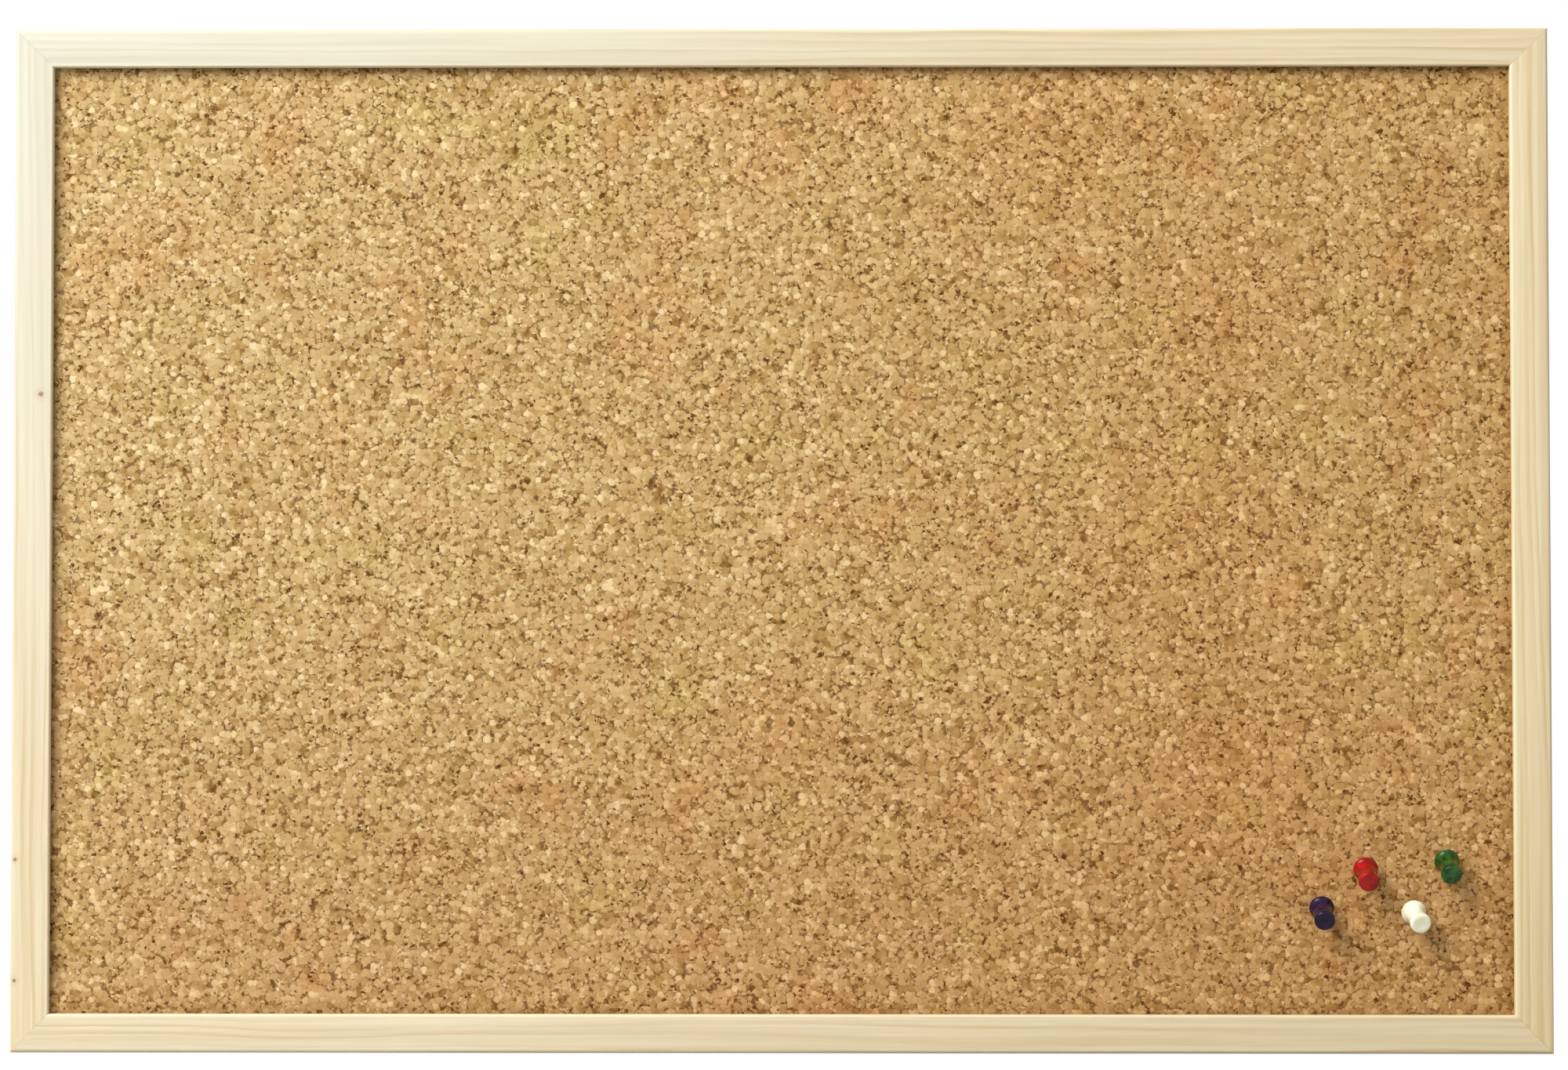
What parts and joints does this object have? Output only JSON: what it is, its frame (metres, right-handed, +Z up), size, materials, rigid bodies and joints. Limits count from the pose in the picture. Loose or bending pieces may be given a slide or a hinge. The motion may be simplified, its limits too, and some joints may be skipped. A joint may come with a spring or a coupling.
{
  "type": "cork pinboard",
  "caption": "Wall-hung cork pinboard in a mitred pine frame, with push pins that pull out and swinging wire hanger rings on the back.",
  "frame": {"origin": "middle of the board's outline on the wall plane, where the back pads touch the wall", "axes": "+X across the board to the viewer's right, +Z up, +Y into the wall; the cork faces -Y"},
  "size_m": [0.6, 0.0333, 0.4],
  "materials": {
    "pine": "planed pine with a thin clear coat",
    "cork": "bare agglomerated cork",
    "fibreboard": "bare soft fibreboard",
    "hardboard": "screen-backed hardboard",
    "steel": "bright drawn steel",
    "zinc_plate": "zinc plated",
    "rubber": "matt",
    "plastic_blue": "glossy moulded",
    "plastic_red": "glossy moulded",
    "plastic_green": "glossy moulded",
    "plastic_white": "glossy moulded"
  },
  "bodies": {
    "board": {"frame_top": "pine", "frame_right": "pine", "frame_bottom": "pine", "frame_left": "pine", "corner_nail_top_left_1": "steel", "corner_nail_top_left_2": "steel", "corner_nail_top_right_1": "steel", "corner_nail_top_right_2": "steel", "corner_nail_bottom_right_1": "steel", "corner_nail_bottom_right_2": "steel", "corner_nail_bottom_left_1": "steel", "corner_nail_bottom_left_2": "steel", "panel_point_top_1": "steel", "panel_point_top_2": "steel", "panel_point_top_3": "steel", "panel_point_right_1": "steel", "panel_point_right_2": "steel", "panel_point_bottom_1": "steel", "panel_point_bottom_2": "steel", "panel_point_bottom_3": "steel", "panel_point_left_1": "steel", "panel_point_left_2": "steel", "cork_sheet": "cork", "core_board": "fibreboard", "backing_board": "hardboard", "wall_pad_top_left": "rubber", "wall_pad_top_right": "rubber", "wall_pad_bottom_right": "rubber", "wall_pad_bottom_left": "rubber", "hanger_strap_left": "zinc_plate", "hanger_screw_left": "steel", "hanger_strap_right": "zinc_plate", "hanger_screw_right": "steel"},
    "ring_left": {"hanger_ring_left": "zinc_plate"},
    "ring_right": {"hanger_ring_right": "zinc_plate"},
    "pin_blue": {"pin_head_blue": "plastic_blue", "pin_needle_blue": "steel"},
    "pin_red": {"pin_head_red": "plastic_red", "pin_needle_red": "steel"},
    "pin_green": {"pin_head_green": "plastic_green", "pin_needle_green": "steel"},
    "pin_white": {"pin_head_white": "plastic_white", "pin_needle_white": "steel"}
  },
  "joints": [
    {"name": "ring_left_swing", "type": "hinge", "parent": "board", "child": "ring_left", "pos_m": [-0.2938, -0.0023, 0.14], "axis": [1, 0, 0], "range_deg": [0, 180]},
    {"name": "ring_right_swing", "type": "hinge", "parent": "board", "child": "ring_right", "pos_m": [0.2938, -0.0023, 0.14], "axis": [1, 0, 0], "range_deg": [0, 180]},
    {"name": "pin_blue_pull", "type": "slide", "parent": "board", "child": "pin_blue", "axis": [-0.0489, -0.9325, -0.3579], "range_m": [0, 0.02]},
    {"name": "pin_red_pull", "type": "slide", "parent": "board", "child": "pin_red", "axis": [-0.0485, -0.9261, -0.3742], "range_m": [0, 0.02]},
    {"name": "pin_green_pull", "type": "slide", "parent": "board", "child": "pin_green", "axis": [-0.0159, -0.9134, -0.4067], "range_m": [0, 0.02]},
    {"name": "pin_white_pull", "type": "slide", "parent": "board", "child": "pin_white", "axis": [0.0664, -0.949, -0.3083], "range_m": [0, 0.02]}
  ]
}
